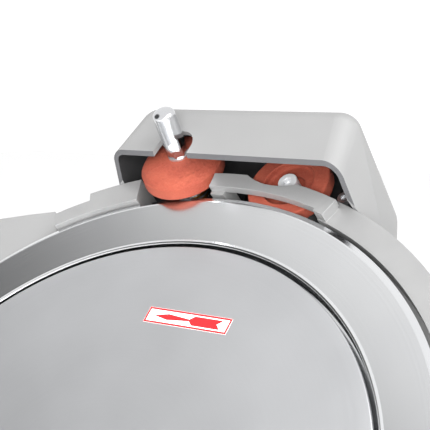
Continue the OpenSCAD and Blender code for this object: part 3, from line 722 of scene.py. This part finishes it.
# The arrow is its upper half, along the label and up from its middle line
label = {"width": 42.7, "height": 7.8, "paper": 0.10, "ink": 0.04, "border": 0.85, "inset": 0.1,
         "corner": (-9.6, 81.6), "cuts": 16, "sink": 0.01,
         "arrow": [(4, 0), (11.2, 1.5), (10.4, 0.45), (22.5, 0.45), (24.6, 2.3), (38.8, 2.3),
                   (36.4, 0)]}


def strip(left, low, right, high):
    return np.array([(left, low), (right, low), (right, high), (left, high)], float)


def arrowOutline():
    # the upper half and its mirror image, run round the other way
    upper = label["arrow"]
    lower = [(along, -up) for along, up in upper[-2:0:-1]]
    return (np.array(upper + lower) + (0, label["height"] / 2))[::-1]


def makeLabel(name, place, body):
    # white vinyl with a plain red border and arrow; place lays its flat points on the head
    wide, tall, edge, rim = label["width"], label["height"], label["border"], label["inset"]
    right, top = wide - rim, tall - rim
    red = [strip(rim, rim, right, rim + edge), strip(rim, top - edge, right, top),
           strip(rim, rim + edge, rim + edge, top - edge),
           strip(right - edge, rim + edge, right, top - edge), arrowOutline()]
    mesh = bpy.data.meshes.new(name)
    work = bmesh.new()
    layers = [(strip(0, 0, wide, tall), 0, label["paper"], 0)]
    layers += [(shape, label["paper"], label["paper"] + label["ink"], 1) for shape in red]
    for outline, low, high, which in layers:
        points, faces = flatPrism(outline, low, high)
        corners = [work.verts.new(point) for point in points]
        for face in faces:
            work.faces.new([corners[k] for k in face]).material_index = which
    bmesh.ops.triangulate(work, faces=[face for face in work.faces if len(face.verts) > 4])
    for across in np.linspace(0, wide, label["cuts"] + 1)[1:-1]:
        # cut across so that it can follow the cover's crown
        bmesh.ops.bisect_plane(work, geom=work.verts[:] + work.edges[:] + work.faces[:],
                               plane_co=(across, 0, 0), plane_no=(1, 0, 0))
    bmesh.ops.recalc_face_normals(work, faces=work.faces)
    work.to_mesh(mesh)
    flat = np.array([vert.co for vert in work.verts])
    work.free()
    mesh.vertices.foreach_set("co", room(place(flat)).ravel())
    mesh.update()
    for finish in ("paper", "ink"):
        mesh.materials.append(finishes[finish])
    piece = bpy.data.objects.new(name, mesh)
    bpy.context.scene.collection.objects.link(piece)
    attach(piece, body)


def onCover(flat):
    # laid on the cover's crown, a hair into it
    across, up = flat[:, 0] + label["corner"][0], flat[:, 1] + label["corner"][1]
    height = crownHeight(np.hypot(across, up)) + flat[:, 2] - label["sink"]
    return np.stack([across, up, height], -1)


makeLabel("rotation_label", onCover, "cover")
print("label made")


floor = {"reach": 3, "colour": "#f7f7f7", "roughness": 0.7}
# A grey card stands to the left above the table; its edge is the cosine of the angle to its way
sky = {"strength": 1.12, "colour": "#ffffff", "card": "#565656", "cardWay": (-0.72, -0.52, 0.46),
       "cardEdge": {"From Min": 0.9, "From Max": 0.935}}
# Place, target, size in metres and power in watts
lamps = {"key": ((0.95, -0.25, 1.25), (0, 0, 0.25), (0.9, 0.9), 17),
         "front": ((0.68, -0.87, 0.62), (0.02, 0.1, 0.27), (0.4, 0.4), 9),
         "low": ((0.55, -0.95, 0.3), (0.02, 0.1, 0.27), (0.3, 0.3), 13)}
camera = {"at": (0.3078, -0.3395, 0.3309), "forward": (-0.5832, 0.8026, -0.1248),
          "up": (-0.0737, 0.1008, 0.992), "lens": 100.47, "sensor": 36, "nearest": 0.02}


def makeFloor():
    reach = floor["reach"]
    mesh = bpy.data.meshes.new("floor")
    mesh.from_pydata([(-reach, -reach, 0), (reach, -reach, 0), (reach, reach, 0),
                      (-reach, reach, 0)], [], [(0, 1, 2, 3)])
    piece = bpy.data.objects.new("floor", mesh)
    bpy.context.scene.collection.objects.link(piece)
    mesh.materials.append(newFinish({"name": "paleFloorPaint", "colour": floor["colour"],
                                     "metallic": 0, "roughness": floor["roughness"]})[0])


def areaLight(name, place, target, size, power):
    light = bpy.data.lights.new(name, "AREA")
    light.shape = "RECTANGLE"
    light.size, light.size_y = size
    light.energy = power
    lamp = bpy.data.objects.new(name, light)
    lamp.location = place
    lamp.rotation_euler = (Vector(target) - Vector(place)).to_track_quat("-Z", "Y").to_euler()
    bpy.context.scene.collection.objects.link(lamp)


def makeLight():
    world = bpy.data.worlds.new("studio")
    bpy.context.scene.world = world
    world.use_nodes = True
    tree = world.node_tree
    way = addNode(tree, "ShaderNodeTexCoord", {}, "Generated")
    toward = addNode(tree, "ShaderNodeVectorMath",
                     {0: way, 1: Vector(sky["cardWay"]).normalized()}, "Value",
                     operation="DOT_PRODUCT")
    share = addNode(tree, "ShaderNodeMapRange", {**sky["cardEdge"], "Value": toward})
    colour = addNode(tree, "ShaderNodeMix",
                     {0: share, 6: linear(sky["colour"]), 7: linear(sky["card"])}, 2,
                     data_type="RGBA")
    setInputs(tree, tree.nodes["Background"], {"Color": colour, "Strength": sky["strength"]})
    for name, lamp in lamps.items():
        areaLight(name, *lamp)


def makeCamera():
    forward, up = Vector(camera["forward"]).normalized(), Vector(camera["up"]).normalized()
    right = forward.cross(up).normalized()
    up = right.cross(forward)
    view = Matrix((right, up, -forward)).transposed().to_4x4()
    view.translation = Vector(camera["at"])
    lens = bpy.data.cameras.new("camera")
    lens.lens = camera["lens"]
    lens.sensor_width = camera["sensor"]
    lens.clip_start = camera["nearest"]
    eye = bpy.data.objects.new("camera", lens)
    eye.matrix_world = view
    bpy.context.scene.collection.objects.link(eye)
    bpy.context.scene.camera = eye


makeFloor()
makeLight()
makeCamera()
bpy.context.scene.view_settings.view_transform = "Standard"
print("room made")
